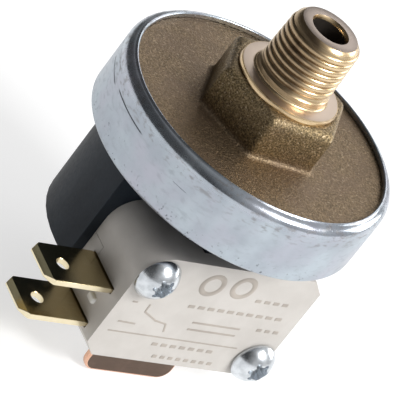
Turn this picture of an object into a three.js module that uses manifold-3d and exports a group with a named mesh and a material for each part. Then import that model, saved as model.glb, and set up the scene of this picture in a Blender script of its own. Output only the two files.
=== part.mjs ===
// Diaphragm pressure switch with a snap-action microswitch on the side of its housing.
//
// Pressure enters through the threaded nipple and dishes a rubber diaphragm, which pushes a piston
// against a lever. The lever is held up by the range spring, and its free end presses the button of
// the microswitch. A screw in the end of the housing moves the spring's seat, which sets the pressure.
//
// Millimetres. The origin is on the axis at the fitting's machined shoulder, the nipple points along
// +Z, and the microswitch's marked face looks along -Y. The switch is shown with no pressure in it.

import * as THREE from "three";
import { mergeVertices } from "three/addons/utils/BufferGeometryUtils.js";
import Module from "manifold-3d";

const wasm = await Module();
wasm.setup();

// ---------------------------------------------------------------- driving dimensions

const clearance = 0.05; // between pieces that touch
const slip = 0.15; // between pieces that slide or turn

// Fitting: 1/8 inch taper thread, 28 turns to the inch, 1 in 16 on diameter
const threadPitch = 0.907;
const threadTaper = 1 / 32;
const threadTurns = 7;
const threadStartZ = 1.35;
const threadCrestRadius = 4.95;
const threadDepth = 0.58;
const nippleTipZ = 8.75;
const boreRadius = 2.38;
const shoulderRadius = 6.9;
const hexRadius = 8.95;
const hexCornerDegrees = 52; // one corner's bearing from +X
const hexTopZ = -0.7;
const flangeFrontZ = -6.74;
const flangeBackZ = -9.8;
const flangeRadius = 18.05;
const chamberRadius = 13;
const chamberTopZ = -8.8;

// Crimp ring
const ringRadius = 19;
const ringWall = 0.85;
const ringFrontZ = -6;
const ringBackZ = -15.18;
const ringLipRadius = 17.58;
const ringBackLipRadius = 16.3;
const ringFrontRound = 1.4;
const ringBackRound = 0.7;

// Diaphragm and piston
const rubberThickness = 0.9;
const diaphragmTopZ = flangeBackZ - clearance;
const diaphragmDish = 1.1;
const diaphragmCentreRadius = 11.2;
const pistonRadius = 11;
const pistonThickness = 1.4;
const pistonTopZ = diaphragmTopZ - diaphragmDish - rubberThickness - clearance;
const pistonStemRadius = 2.4;
const pistonNoseRadius = 1;

// Lever, which turns about a pin beside the piston
const leverPinY = 10.3;
const leverPinZ = -16.5;
const leverPinRadius = 1;
const leverTopZ = -15.4;
const leverThickness = 2.2;
const leverHalfWidth = 3.8;
const leverTipY = -9.3;

// Housing
const barrelRadius = 15.7;
const barrelEndZ = -31.19;
const collarFrontZ = diaphragmTopZ - rubberThickness - clearance;
const pistonWellRadius = 13.1;
const pistonWellFloorZ = -14.6;
const leverSlotHalfWidth = 4.4;
const leverSlotFloorZ = -19;
const leverBoxWall = 0.7; // walls of the box that covers the lever's tip in front of the flat
const seatFlatY = -2.75;
const seatTopZ = -19.6; // foot of that box, just above the microswitch
const endWallZ = -28.7;
const earStartX = 8.2;

// Range spring, its seat and the adjusting screw share an axis on the lever's short side
const springAxisY = 4.6;
const springMeanRadius = 3.6;
const springWireRadius = 0.5;
const springCoils = 4;
const springFrontZ = leverTopZ - leverThickness - 0.1;
const springSeatZ = -24.6;
const springSeatThickness = 2;
const springBoreRadius = 5.4;
const keyHalfWidth = 0.8;
const keyHeight = 1;
const adjustRadius = 1.7;
const adjustCollarRadius = 3.4;
const adjustCollarThickness = 1.1;
const adjustStubRadius = 2.3;

// Microswitch case, with its corners as seen on the marked face
const caseLeftX = -13.9;
const caseRightX = 14.1;
const caseTopZ = -19.74;
const caseBottomZ = -36.8;
const caseFrontY = -12.8;
const caseBackY = -2.8;
const plateThickness = 2.65;
const plateTopZ = -26;
const caseWall = 1.3;
const cornerRound = 4;
const topChamferX = 2;
const topChamferZ = 2;
const bottomChamfer = 2;
const bossRadius = 3;
const screwHoleRadius = 1.6;
const screwPlaces = { upper: [-11.1, -23], lower: [11.9, -34.2] };
const midY = (caseFrontY + caseBackY) / 2;

// Button and contacts
const buttonX = 0.8;
const buttonRadius = 1.5;
const buttonCollarRadius = 2.2;
const buttonBottomZ = -28.85;
const bladeZ = -29.53;
const bladeThickness = 0.25;
const bladePivotX = 7.8;
const contactX = -8.5;
const contactRadius = 1.4;
const bladeHalfWidth = 2.1;

// Terminals
const tabWidth = 6.3;
const tabThickness = 0.8;
const tabTipX = -23.8;
const tabHoleX = -20.2;
const tabHoleRadius = 0.9;
const tabCornerCut = 1.3;
const tabBevel = 0.95;
const rootRelief = 0.08; // each face of a blade is set back by this where it enters the case
const reliefX = caseLeftX - 0.3;
const upperTabZ = -27.9;
const lowerTabZ = -33.82;
const lowerTabStep = 1.72;
const tabInnerX = -7;
const comLeftX = -10.6;
const comRightX = 2.9;
const comBottomZ = -40.6;
const comFrontY = -11.5;
const comThickness = 1;

// Mounting screws
const screwHeadRadius = 3;
const screwHeadHeight = 2.35;
const screwShankRadius = 1.45;
const screwReachY = 4;

// ---------------------------------------------------------------- geometry helpers

// A geometry with its shared vertices merged, its collapsed triangles dropped and its faces outward
function toManifold(geometry) {
  const bare = geometry.clone();
  bare.deleteAttribute("normal");
  bare.deleteAttribute("uv");
  const merged = mergeVertices(bare, 1e-4);
  const positions = merged.attributes.position.array;
  const index = merged.index.array;
  const corners = [new THREE.Vector3(), new THREE.Vector3(), new THREE.Vector3()];
  const triangles = [];
  let volume = 0;
  for (let i = 0; i < index.length; i += 3) {
    const [a, b, c] = index.slice(i, i + 3);
    if (a === b || b === c || c === a) continue;
    [a, b, c].forEach((vertex, k) => corners[k].fromArray(positions, 3 * vertex));
    volume += corners[0].dot(corners[1].cross(corners[2]));
    triangles.push([a, b, c]);
  }
  const outward = volume > 0 ? triangles : triangles.map(([a, b, c]) => [a, c, b]);
  return new wasm.Manifold(
    new wasm.Mesh({ numProp: 3, vertProperties: positions, triVerts: Uint32Array.from(outward.flat()) })
  );
}

function fromManifold(solid) {
  const mesh = solid.getMesh();
  const geometry = new THREE.BufferGeometry();
  geometry.setAttribute("position", new THREE.BufferAttribute(mesh.vertProperties, 3));
  geometry.setIndex(new THREE.BufferAttribute(mesh.triVerts, 1));
  geometry.computeVertexNormals();
  return geometry;
}

const solid = (geometry) => fromManifold(toManifold(geometry));
const join = (...pieces) => fromManifold(pieces.map(toManifold).reduce((a, b) => a.add(b)));
const cut = (...pieces) => fromManifold(pieces.map(toManifold).reduce((a, b) => a.subtract(b)));
const common = (a, b) => fromManifold(toManifold(a).intersect(toManifold(b)));

// A cylinder along Z from one height to another
function rod(radius, fromZ, toZ, { x = 0, y = 0, sides = 32 } = {}) {
  const geometry = new THREE.CylinderGeometry(radius, radius, Math.abs(toZ - fromZ), sides);
  geometry.rotateX(Math.PI / 2);
  return geometry.translate(x, y, (fromZ + toZ) / 2);
}

// A cylinder along Y at a place on the XZ plane
function crossRod(radius, fromY, toY, x, z, sides = 24) {
  const geometry = new THREE.CylinderGeometry(radius, radius, Math.abs(toY - fromY), sides);
  return geometry.translate(x, (fromY + toY) / 2, z);
}

function block(low, high) {
  const size = high.map((value, i) => value - low[i]);
  const centre = high.map((value, i) => (value + low[i]) / 2);
  return new THREE.BoxGeometry(...size).translate(...centre);
}

// A profile of [radius, z] points turned about the Z axis
function turned(profile, sides = 48) {
  const points = profile.map(([radius, z]) => new THREE.Vector2(radius, z));
  return new THREE.LatheGeometry(points, sides).rotateX(Math.PI / 2);
}

// Points on an arc of [radius, z] values, both ends included
function arc(centreR, centreZ, radius, fromDegrees, toDegrees, steps) {
  return Array.from({ length: steps + 1 }, (_, i) => {
    const angle = THREE.MathUtils.degToRad(fromDegrees + ((toDegrees - fromDegrees) * i) / steps);
    return [centreR + radius * Math.cos(angle), centreZ + radius * Math.sin(angle)];
  });
}

// A shape drawn in X and Z, made solid from one Y to another
function plateXZ(shape, fromY, toY, curveSegments = 6) {
  const depth = toY - fromY;
  const geometry = new THREE.ExtrudeGeometry(shape, { depth, bevelEnabled: false, curveSegments });
  return geometry.rotateX(Math.PI / 2).translate(0, toY, 0);
}

// A helix that narrows as it climbs, with its frames kept square to the axis
class TaperedHelix extends THREE.Curve {
  constructor(startRadius, startZ) {
    super();
    this.startRadius = startRadius;
    this.startZ = startZ;
  }

  getPoint(t, target = new THREE.Vector3()) {
    const climb = t * threadTurns * threadPitch;
    const radius = this.startRadius - climb * threadTaper;
    const angle = t * threadTurns * 2 * Math.PI;
    return target.set(radius * Math.cos(angle), radius * Math.sin(angle), this.startZ + climb);
  }

  computeFrenetFrames(segments) {
    const frames = { tangents: [], normals: [], binormals: [] };
    for (let i = 0; i <= segments; i += 1) {
      const point = this.getPointAt(i / segments);
      frames.tangents.push(this.getTangentAt(i / segments));
      frames.normals.push(new THREE.Vector3(point.x, point.y, 0).normalize());
      frames.binormals.push(new THREE.Vector3(0, 0, 1));
    }
    return frames;
  }
}

// ---------------------------------------------------------------- materials

const paint = (color, roughness, metalness) =>
  new THREE.MeshStandardMaterial({ color, roughness, metalness });

const materials = {
  brass: paint(0x8a7a52, 0.45, 1),
  zinc: paint(0xb9c0c9, 0.3, 1),
  steel: paint(0xc4c9ce, 0.25, 1),
  spring: paint(0x8d9196, 0.35, 1),
  black: paint(0x20242a, 0.5, 0),
  cream: paint(0xded9d2, 0.55, 0),
  rubber: paint(0x1b1b1b, 0.8, 0),
  white: paint(0xe9e7e0, 0.5, 0),
  platedBrass: paint(0x8c7a4c, 0.35, 1),
  copper: paint(0xb0704f, 0.35, 1),
  silver: paint(0xd8d8d4, 0.3, 1),
};

// ---------------------------------------------------------------- pressure side

function brassFitting() {
  const hexChamfer = turned([[0, flangeFrontZ], [hexRadius + 0.2, flangeFrontZ],
    [hexRadius + 0.2, hexTopZ - 0.7], [hexRadius - 1.3, hexTopZ], [0, hexTopZ]], 36);
  const hexBlock = rod(hexRadius, flangeFrontZ, hexTopZ, { sides: 6 });
  hexBlock.rotateZ(THREE.MathUtils.degToRad(hexCornerDegrees - 30)); // a rod's six corners start at 30
  const rootRadius = (z) => threadCrestRadius - threadDepth - (z - threadStartZ) * threadTaper;
  const stem = turned([[0, flangeBackZ], [flangeRadius, flangeBackZ], [flangeRadius, flangeFrontZ],
    [hexRadius - 1.6, flangeFrontZ], [hexRadius - 1.6, hexTopZ - 0.2], [shoulderRadius, hexTopZ - 0.2],
    [shoulderRadius, -0.25], [shoulderRadius - 0.25, 0], [threadCrestRadius - 0.1, 0],
    [threadCrestRadius - 0.1, threadStartZ - 0.3], [rootRadius(threadStartZ), threadStartZ],
    [rootRadius(nippleTipZ - 0.5), nippleTipZ - 0.5], [rootRadius(nippleTipZ) - 0.45, nippleTipZ],
    [0, nippleTipZ]], 36);
  const ridge = new THREE.Shape([[-0.2, -0.4], [threadDepth, -0.07], [threadDepth, 0.07], [-0.2, 0.4]]
    .map(([x, y]) => new THREE.Vector2(x, y)));
  const path = new TaperedHelix(rootRadius(threadStartZ), threadStartZ - 0.1);
  const thread = new THREE.ExtrudeGeometry(ridge,
    { extrudePath: path, steps: threadTurns * 14, bevelEnabled: false });
  const bore = turned([[0, chamberTopZ - 1], [boreRadius, chamberTopZ - 1], [boreRadius, nippleTipZ - 0.3],
    [boreRadius + 0.4, nippleTipZ + 0.1], [0, nippleTipZ + 0.1]], 32);
  const chamber = rod(chamberRadius, flangeBackZ - 1, chamberTopZ, { sides: 40 });
  return cut(join(stem, common(hexBlock, hexChamfer), thread), bore, chamber);
}

function crimpRing() {
  const inner = ringRadius - ringWall;
  return solid(turned([
    [inner, ringBackZ + ringWall],
    [ringBackLipRadius, ringBackZ + ringWall],
    [ringBackLipRadius, ringBackZ],
    ...arc(ringRadius - ringBackRound, ringBackZ + ringBackRound, ringBackRound, -90, 0, 2),
    ...arc(ringRadius - ringFrontRound, ringFrontZ - ringFrontRound, ringFrontRound, 0, 90, 4),
    [ringLipRadius, ringFrontZ - 0.06],
    [ringLipRadius, flangeFrontZ + clearance],
    [inner, flangeFrontZ + clearance],
    [inner, ringBackZ + ringWall],
  ], 48));
}

function diaphragm() {
  const top = diaphragmTopZ;
  const centreTop = top - diaphragmDish;
  const centreBottom = centreTop - rubberThickness;
  return solid(turned([[0, centreBottom], [diaphragmCentreRadius + 0.4, centreBottom],
    [diaphragmCentreRadius + 1.6, top - rubberThickness], [flangeRadius, top - rubberThickness],
    [flangeRadius, top], [diaphragmCentreRadius + 1.2, top], [diaphragmCentreRadius, centreTop],
    [0, centreTop]], 32));
}

function piston() {
  const plateBottom = pistonTopZ - pistonThickness;
  return solid(turned([[0, leverTopZ + clearance], [pistonNoseRadius, leverTopZ + clearance],
    [pistonStemRadius, leverTopZ + 0.5], [pistonStemRadius, plateBottom - 0.4],
    [pistonStemRadius + 0.8, plateBottom], [pistonRadius, plateBottom], [pistonRadius, pistonTopZ], [0, pistonTopZ]], 28));
}

// ---------------------------------------------------------------- setting side

function switchHousing() {
  const seatGap = 0.05;
  const collar = rod(flangeRadius, collarFrontZ, ringBackZ + ringWall + clearance, { sides: 48 });
  const neck = rod(ringBackLipRadius - 0.1, ringBackZ + ringWall + 0.5, ringBackZ - 0.35, { sides: 48 });
  const barrel = turned([[0, barrelEndZ], [barrelRadius - 0.3, barrelEndZ], [barrelRadius, barrelEndZ + 0.3],
    [barrelRadius, ringBackZ], [0, ringBackZ]], 48);
  const ear = block([earStartX, seatFlatY - 1, caseBottomZ], [caseRightX, 4.6, barrelEndZ + 1]);
  const flatTopZ = ringBackZ - 0.4;
  const pocket = block([-20, -20, -45], [20, seatFlatY, flatTopZ]);
  const leverBox = block([-leverSlotHalfWidth - leverBoxWall, leverTipY - 0.9 - leverBoxWall, seatTopZ],
    [leverSlotHalfWidth + leverBoxWall, seatFlatY + 1, flatTopZ + 0.2]);
  const well = rod(pistonWellRadius, collarFrontZ + 1, pistonWellFloorZ, { sides: 40 });
  const leverSlot = block([-leverSlotHalfWidth, leverTipY - 0.9, leverSlotFloorZ],
    [leverSlotHalfWidth, leverPinY + 2.6, pistonWellFloorZ + 0.5]);
  const buttonWindow = block([buttonX - 2.4, midY - 2.4, seatTopZ - 1],
    [buttonX + 2.4, midY + 2.4, leverSlotFloorZ + 1]);
  const pinGroove = block([-6, leverPinY - leverPinRadius - seatGap, leverPinZ - leverPinRadius - seatGap],
    [6, leverPinY + leverPinRadius + seatGap, pistonWellFloorZ + 0.5]);
  const springBore = rod(springBoreRadius, leverSlotFloorZ + 1, endWallZ, { y: springAxisY });
  const stubHole = rod(adjustStubRadius + slip, endWallZ + 1, barrelEndZ - 1, { y: springAxisY });
  const key = block([-keyHalfWidth, springAxisY + springBoreRadius - keyHeight, endWallZ - 0.5],
    [keyHalfWidth, springAxisY + springBoreRadius + 0.5, leverSlotFloorZ - 1.5]);
  const screwHoles = Object.values(screwPlaces).map(([x, z]) =>
    crossRod(screwShankRadius + 0.05, seatFlatY - 1, screwReachY + 0.3, x, z));
  const body = join(cut(join(collar, neck, barrel, ear), pocket), leverBox);
  const shell = cut(body, well, leverSlot, buttonWindow, pinGroove, springBore, stubHole, ...screwHoles);
  return join(shell, key);
}

// A closed coil spring: a helix between flat ends
function coilSpring(meanRadius, wireRadius, fromZ, toZ, coils, stepsPerCoil = 14) {
  class Coil extends THREE.Curve {
    getPoint(t, target = new THREE.Vector3()) {
      const angle = t * coils * 2 * Math.PI;
      const z = fromZ + wireRadius + t * (toZ - fromZ - 2 * wireRadius);
      return target.set(meanRadius * Math.cos(angle), meanRadius * Math.sin(angle), z);
    }

    computeFrenetFrames(segments) {
      const frames = { tangents: [], normals: [], binormals: [] };
      for (let i = 0; i <= segments; i += 1) {
        const point = this.getPointAt(i / segments);
        const tangent = this.getTangentAt(i / segments);
        const normal = new THREE.Vector3(point.x, point.y, 0).normalize();
        frames.tangents.push(tangent);
        frames.normals.push(normal);
        frames.binormals.push(new THREE.Vector3().crossVectors(tangent, normal));
      }
      return frames;
    }
  }
  const section = new THREE.Shape().absarc(0, 0, wireRadius, 0, 2 * Math.PI);
  const wire = new THREE.ExtrudeGeometry(section,
    { extrudePath: new Coil(), steps: coils * stepsPerCoil, curveSegments: 2, bevelEnabled: false });
  return solid(wire);
}

function springSeat() {
  const disc = rod(springBoreRadius - slip, -springSeatThickness, 0);
  const hole = rod(adjustRadius + slip, -springSeatThickness - 1, 1, { sides: 24 });
  const keyway = block([-keyHalfWidth - slip, springBoreRadius - keyHeight - slip, -springSeatThickness - 1],
    [keyHalfWidth + slip, springBoreRadius + 1, 1]);
  return cut(disc, hole, keyway);
}

function adjustingScrew() {
  const collarTop = endWallZ + clearance + adjustCollarThickness;
  const end = barrelEndZ + 0.2;
  const body = turned([[0, end], [adjustStubRadius, end], [adjustStubRadius, endWallZ + clearance],
    [adjustCollarRadius, endWallZ + clearance], [adjustCollarRadius, collarTop], [adjustRadius, collarTop],
    [adjustRadius, springSeatZ + 2.4], [adjustRadius - 0.3, springSeatZ + 2.7], [0, springSeatZ + 2.7]], 28);
  const slot = block([-adjustStubRadius - 1, -0.4, end - 1], [adjustStubRadius + 1, 0.4, end + 1]);
  return cut(body, slot);
}

function rockerLever() {
  const bottom = leverTopZ - leverThickness;
  const bar = block([-leverHalfWidth, leverTipY, bottom], [leverHalfWidth, leverPinY, leverTopZ]);
  const hub = new THREE.CylinderGeometry(2, 2, 2 * leverHalfWidth, 24);
  hub.rotateZ(Math.PI / 2).translate(0, leverPinY, leverPinZ);
  const pinHole = new THREE.CylinderGeometry(leverPinRadius + 0.06, leverPinRadius + 0.06, 20, 24);
  pinHole.rotateZ(Math.PI / 2).translate(0, leverPinY, leverPinZ);
  return cut(join(bar, hub), pinHole);
}

function leverPin() {
  return new THREE.CylinderGeometry(leverPinRadius, leverPinRadius, 11.8, 24).rotateZ(Math.PI / 2);
}

// ---------------------------------------------------------------- microswitch

// Outline of the case on its marked face, shrunk by an inset
function caseOutline(inset = 0) {
  const left = caseLeftX + inset;
  const right = caseRightX - inset;
  const top = caseTopZ - inset;
  const bottom = caseBottomZ + inset;
  const round = cornerRound - inset;
  const shape = new THREE.Shape();
  shape.moveTo(left + bottomChamfer, bottom);
  shape.lineTo(right, bottom);
  shape.lineTo(right, top - topChamferZ);
  shape.lineTo(right - topChamferX, top);
  shape.lineTo(left + round, top);
  shape.absarc(left + round, top - round, round, Math.PI / 2, Math.PI, false);
  shape.lineTo(left, bottom + bottomChamfer);
  return shape;
}

function bossRods(radius, fromY, toY) {
  return Object.values(screwPlaces).map(([x, z]) => crossRod(radius, fromY, toY, x, z));
}

function tabSlots() {
  const halfWidth = tabWidth / 2 + 0.1;
  const halfHeight = tabThickness / 2 + 0.1;
  return [upperTabZ, lowerTabZ].map((z) => block([caseLeftX - 1, midY - halfWidth, z - halfHeight],
    [caseLeftX + caseWall + 1, midY + halfWidth, z + halfHeight]));
}

function switchCase() {
  const body = plateXZ(caseOutline(), caseFrontY, caseBackY);
  const hollow = plateXZ(caseOutline(caseWall), caseFrontY + caseWall, caseBackY + 1);
  const plateRoom = block([-20, caseBackY - plateThickness, -45], [20, caseBackY + 1, plateTopZ]);
  const comSlot = block([comLeftX - 0.1, comFrontY - 0.05, caseBottomZ - 1],
    [comRightX + 0.1, comFrontY + comThickness + 0.1, caseBottomZ + caseWall + 1]);
  const buttonHole = rod(buttonRadius + slip, caseTopZ + 1, caseTopZ - caseWall - 1, { x: buttonX, y: midY });
  return cut(body, cut(hollow, ...bossRods(bossRadius, caseFrontY + 0.5, caseBackY + 2)), plateRoom,
    ...tabSlots(), comSlot, buttonHole, ...bossRods(screwHoleRadius, caseFrontY - 1, caseBackY + 3));
}

// A tray that closes the lower part of the case, with a lid that drops inside the upper part
function switchBackPlate() {
  const frontY = caseBackY - plateThickness + clearance;
  const lidY = caseBackY - caseWall;
  const below = block([-20, -20, -45], [20, 20, plateTopZ - clearance]);
  const tray = common(plateXZ(caseOutline(), frontY, caseBackY), below);
  const trayHollow = plateXZ(caseOutline(caseWall), frontY - 1, lidY);
  const lid = plateXZ(caseOutline(caseWall + clearance), lidY, caseBackY - clearance);
  const [upperBoss] = bossRods(bossRadius + clearance, lidY - 1, caseBackY + 1);
  const [, lowerBoss] = bossRods(bossRadius, frontY - 2, caseBackY + 1);
  return cut(join(cut(tray, cut(trayHollow, lowerBoss)), cut(lid, upperBoss)), ...tabSlots(),
    ...bossRods(screwHoleRadius, caseBackY - 5, caseBackY + 1));
}

function switchButton() {
  const top = leverTopZ - leverThickness - clearance;
  const collarTop = caseTopZ - caseWall - 0.1;
  return solid(turned([[0, buttonBottomZ], [buttonRadius, buttonBottomZ], [buttonRadius, collarTop - 1.1],
    [buttonCollarRadius, collarTop - 1.1], [buttonCollarRadius, collarTop], [buttonRadius, collarTop],
    [buttonRadius, top - 0.35], ...arc(buttonRadius - 0.5, top - 0.5, 0.5, 20, 90, 2), [0, top]], 16));
}

// Outline of a blade terminal in X and Y, from its tip to its inner end
function tabBlank() {
  const half = tabWidth / 2;
  const shape = new THREE.Shape();
  shape.moveTo(tabInnerX, -half);
  shape.lineTo(tabInnerX, half);
  shape.lineTo(tabTipX + tabCornerCut, half);
  shape.lineTo(tabTipX, half - tabCornerCut * 0.8);
  shape.lineTo(tabTipX, -half + tabCornerCut * 0.8);
  shape.lineTo(tabTipX + tabCornerCut, -half);
  const hole = new THREE.Path().absarc(tabHoleX, 0, tabHoleRadius, 0, 2 * Math.PI);
  shape.holes.push(hole);
  return shape;
}

// The blade seen along Y: straight, or cranked up inside the case by a step
function bladeTerminal(step) {
  const t = tabThickness / 2;
  const r = t - rootRelief;
  const crank = caseLeftX + 2.4;
  const side = new THREE.Shape([[tabTipX, -0.4 * t], [tabTipX + tabBevel, -t], [reliefX, -t], [reliefX, -r],
    [crank, -r], [crank + 1.4, step - r], [tabInnerX + 1, step - r], [tabInnerX + 1, step + r],
    [crank + 0.8, step + r], [crank - 0.6, r], [reliefX, r], [reliefX, t], [tabTipX + tabBevel, t],
    [tabTipX, 0.4 * t]].map(([x, z]) => new THREE.Vector2(x, z)));
  const tall = new THREE.ExtrudeGeometry(tabBlank(), { depth: 8, bevelEnabled: false, curveSegments: 8 });
  return common(tall.translate(0, 0, -4), plateXZ(side, -tabWidth, tabWidth));
}

function fixedContact() {
  return solid(turned([[0, 0], [contactRadius - 0.1, 0], [contactRadius - 0.1, 0.43],
    [contactRadius - 0.5, 0.68], [0, 0.68]], 20));
}

function comTerminal() {
  const left = comLeftX;
  const right = comRightX;
  const corner = 1.8;
  const face = new THREE.Shape();
  face.moveTo(left, caseBottomZ + 2.4);
  face.lineTo(left, comBottomZ + corner);
  face.absarc(left + corner, comBottomZ + corner, corner, Math.PI, 1.5 * Math.PI, false);
  face.absarc(right - corner, comBottomZ + corner, corner, 1.5 * Math.PI, 2 * Math.PI, false);
  face.lineTo(right, caseBottomZ + 2.4);
  const floorZ = caseBottomZ + caseWall + 0.1;
  const postLeft = bladePivotX - 0.5;
  const blade = plateXZ(face, comFrontY, comFrontY + comThickness, 4);
  const strip = block([left, comFrontY, floorZ], [postLeft + 1, midY + bladeHalfWidth, floorZ + 0.8]);
  const post = block([postLeft, midY - bladeHalfWidth, floorZ],
    [postLeft + 1, midY + bladeHalfWidth, bladeZ - bladeThickness / 2 - clearance]);
  const faceRelief = block([left - 1, comFrontY - 1, caseBottomZ - 0.3],
    [postLeft + 2, comFrontY + rootRelief, 0]);
  return cut(join(blade, strip, post), faceRelief);
}

// Snap blade: a frame with a bowed tongue in its window and a hole for the contact rivet
function contactBlade() {
  const left = contactX - 1.7;
  const right = bladePivotX + 0.7;
  const half = bladeThickness / 2;
  const frame = block([left, -bladeHalfWidth, -half], [right, bladeHalfWidth, half]);
  const window = block([contactX + 2.6, -bladeHalfWidth + 0.7, -1], [buttonX - 1.9, bladeHalfWidth - 0.7, 1]);
  const rivetHole = rod(0.75, -1, 1, { x: contactX, sides: 16 });
  const tongueSpan = buttonX - 1.9 - (contactX + 2.6);
  const tongueShape = new THREE.Shape();
  const bow = 0.7;
  const steps = 8;
  const curve = (t, offset) => [buttonX - 1.8 - t * (tongueSpan - 0.5), offset - bow * Math.sin(Math.PI * t)];
  const lower = Array.from({ length: steps + 1 }, (_, i) => curve(i / steps, -half));
  const upper = Array.from({ length: steps + 1 }, (_, i) => curve(1 - i / steps, half));
  tongueShape.setFromPoints([...lower, ...upper].map(([x, z]) => new THREE.Vector2(x, z)));
  const tongue = plateXZ(tongueShape, -0.9, 0.9);
  return join(cut(frame, window, rivetHole), tongue);
}

function movingContact() {
  const half = bladeThickness / 2 + 0.03;
  return solid(turned([[0, -half - 0.42], [contactRadius - 0.4, -half - 0.42], [contactRadius, -half - 0.2],
    [contactRadius, -half], [0.65, -half], [0.65, half], [contactRadius, half], [contactRadius, half + 0.2],
    [contactRadius - 0.4, half + 0.42], [0, half + 0.42]], 20));
}

// ---------------------------------------------------------------- fasteners

// Six-lobed recess: a circle whose radius swings in and out six times
function lobedShape(radius, swing) {
  const count = 36;
  const points = Array.from({ length: count }, (_, i) => {
    const angle = (2 * Math.PI * i) / count;
    const reach = radius + swing * Math.cos(6 * angle);
    return new THREE.Vector2(reach * Math.cos(angle), reach * Math.sin(angle));
  });
  return new THREE.Shape(points);
}

// A domed screw along +Z, its head's seat at the origin and its shank below
function mountingScrew() {
  const length = screwReachY - caseFrontY;
  const r = screwHeadRadius;
  const rim = 0.55;
  const dome = Array.from({ length: 5 }, (_, i) => {
    const angle = (i / 4) * (Math.PI / 2);
    return [r * Math.cos(angle), rim + (screwHeadHeight - rim) * Math.sin(angle)];
  });
  dome[4][0] = 0;
  const body = turned([[0, -length], [screwShankRadius - 0.5, -length], [screwShankRadius, -length + 0.8],
    [screwShankRadius, clearance], [r, clearance], ...dome], 24);
  const recess = new THREE.ExtrudeGeometry(lobedShape(1.28, 0.2), { depth: 3, bevelEnabled: false });
  return cut(body, recess.translate(0, 0, screwHeadHeight - 1.3));
}

// ---------------------------------------------------------------- assembly

const pressureSwitch = new THREE.Group();
const microswitch = new THREE.Group();
microswitch.position.y = midY;
pressureSwitch.add(microswitch);

function place(group, name, geometry, material, [x, y, z] = [0, 0, 0]) {
  const mesh = new THREE.Mesh(geometry, material);
  mesh.name = name;
  mesh.position.set(x, y, z);
  group.add(mesh);
  return mesh;
}

place(pressureSwitch, "brass_fitting", brassFitting(), materials.brass);
place(pressureSwitch, "crimp_ring", crimpRing(), materials.zinc);
place(pressureSwitch, "diaphragm", diaphragm(), materials.rubber);
place(pressureSwitch, "piston", piston(), materials.white);
place(pressureSwitch, "switch_housing", switchHousing(), materials.black);
place(pressureSwitch, "range_spring",
  coilSpring(springMeanRadius, springWireRadius, springSeatZ + 0.1, springFrontZ, springCoils),
  materials.spring, [0, springAxisY, 0]);
place(pressureSwitch, "spring_seat", springSeat(), materials.steel, [0, springAxisY, springSeatZ]);
place(pressureSwitch, "adjusting_screw", adjustingScrew(), materials.brass, [0, springAxisY, 0]);
place(pressureSwitch, "rocker_lever", rockerLever(), materials.steel);
place(pressureSwitch, "lever_pin", leverPin(), materials.steel, [0, leverPinY, leverPinZ]);
place(pressureSwitch, "switch_case", switchCase(), materials.cream);
place(pressureSwitch, "switch_back_plate", switchBackPlate(), materials.cream);
place(pressureSwitch, "com_terminal", comTerminal(), materials.copper);

place(microswitch, "switch_button", switchButton(), materials.white, [buttonX, 0, 0]);
place(microswitch, "nc_terminal", bladeTerminal(0), materials.platedBrass, [0, 0, upperTabZ]);
place(microswitch, "no_terminal", bladeTerminal(lowerTabStep), materials.platedBrass, [0, 0, lowerTabZ]);
place(microswitch, "contact_blade", contactBlade(), materials.copper, [0, 0, bladeZ]);
place(microswitch, "moving_contact", movingContact(), materials.silver, [contactX, 0, bladeZ]);
const contactSeat = tabThickness / 2 - rootRelief + clearance / 2;
const upperContact = place(microswitch, "nc_contact", fixedContact(), materials.silver,
  [contactX, 0, upperTabZ - contactSeat]);
upperContact.rotation.x = Math.PI;
place(microswitch, "no_contact", fixedContact(), materials.silver,
  [contactX, 0, lowerTabZ + lowerTabStep + contactSeat]);

for (const [name, [x, z]] of Object.entries(screwPlaces)) {
  const screw = place(pressureSwitch, `${name}_mounting_screw`, mountingScrew(), materials.zinc,
    [x, caseFrontY, z]);
  screw.rotation.x = Math.PI / 2;
}

export default pressureSwitch;
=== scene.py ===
# %% [markdown]
# # A diaphragm pressure switch, dressed for its portrait
#
# The engineering model of the switch already exists and comes in as a fixed frame. This lesson gives it
# the looks of the real thing: a rough brass forging with a machined threaded nipple, a zinc plated ring
# crimped round it, a black moulded housing, and a cream microswitch with blade terminals.
# The frame is loaded first, because later pieces are copied from its nodes and some sizes are read from it.

import math

import bpy
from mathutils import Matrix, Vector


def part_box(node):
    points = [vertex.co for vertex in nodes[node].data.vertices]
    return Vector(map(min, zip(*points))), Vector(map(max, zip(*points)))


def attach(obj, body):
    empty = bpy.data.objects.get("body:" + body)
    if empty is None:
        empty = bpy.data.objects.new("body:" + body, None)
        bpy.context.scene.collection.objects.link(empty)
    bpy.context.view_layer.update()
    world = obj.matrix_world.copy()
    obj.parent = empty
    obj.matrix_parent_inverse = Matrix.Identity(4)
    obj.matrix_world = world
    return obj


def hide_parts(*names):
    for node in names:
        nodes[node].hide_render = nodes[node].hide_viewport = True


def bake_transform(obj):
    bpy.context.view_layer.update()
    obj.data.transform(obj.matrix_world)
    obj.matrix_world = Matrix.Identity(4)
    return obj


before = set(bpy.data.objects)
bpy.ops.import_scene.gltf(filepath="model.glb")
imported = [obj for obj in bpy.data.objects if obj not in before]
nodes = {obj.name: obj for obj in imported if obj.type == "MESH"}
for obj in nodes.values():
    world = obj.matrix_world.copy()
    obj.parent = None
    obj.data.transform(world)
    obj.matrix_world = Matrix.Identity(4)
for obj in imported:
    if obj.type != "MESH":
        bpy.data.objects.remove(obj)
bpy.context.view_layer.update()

# %% [markdown]
# Operators act on whatever is selected, so a helper puts the selection in a known state before each one.
# Sizes below are in millimetres, as a maker would say them, and are turned into metres in one place.

# %% Selection helpers
MM = 0.001


def mm(*values):
    return tuple(value * MM for value in values)


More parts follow.
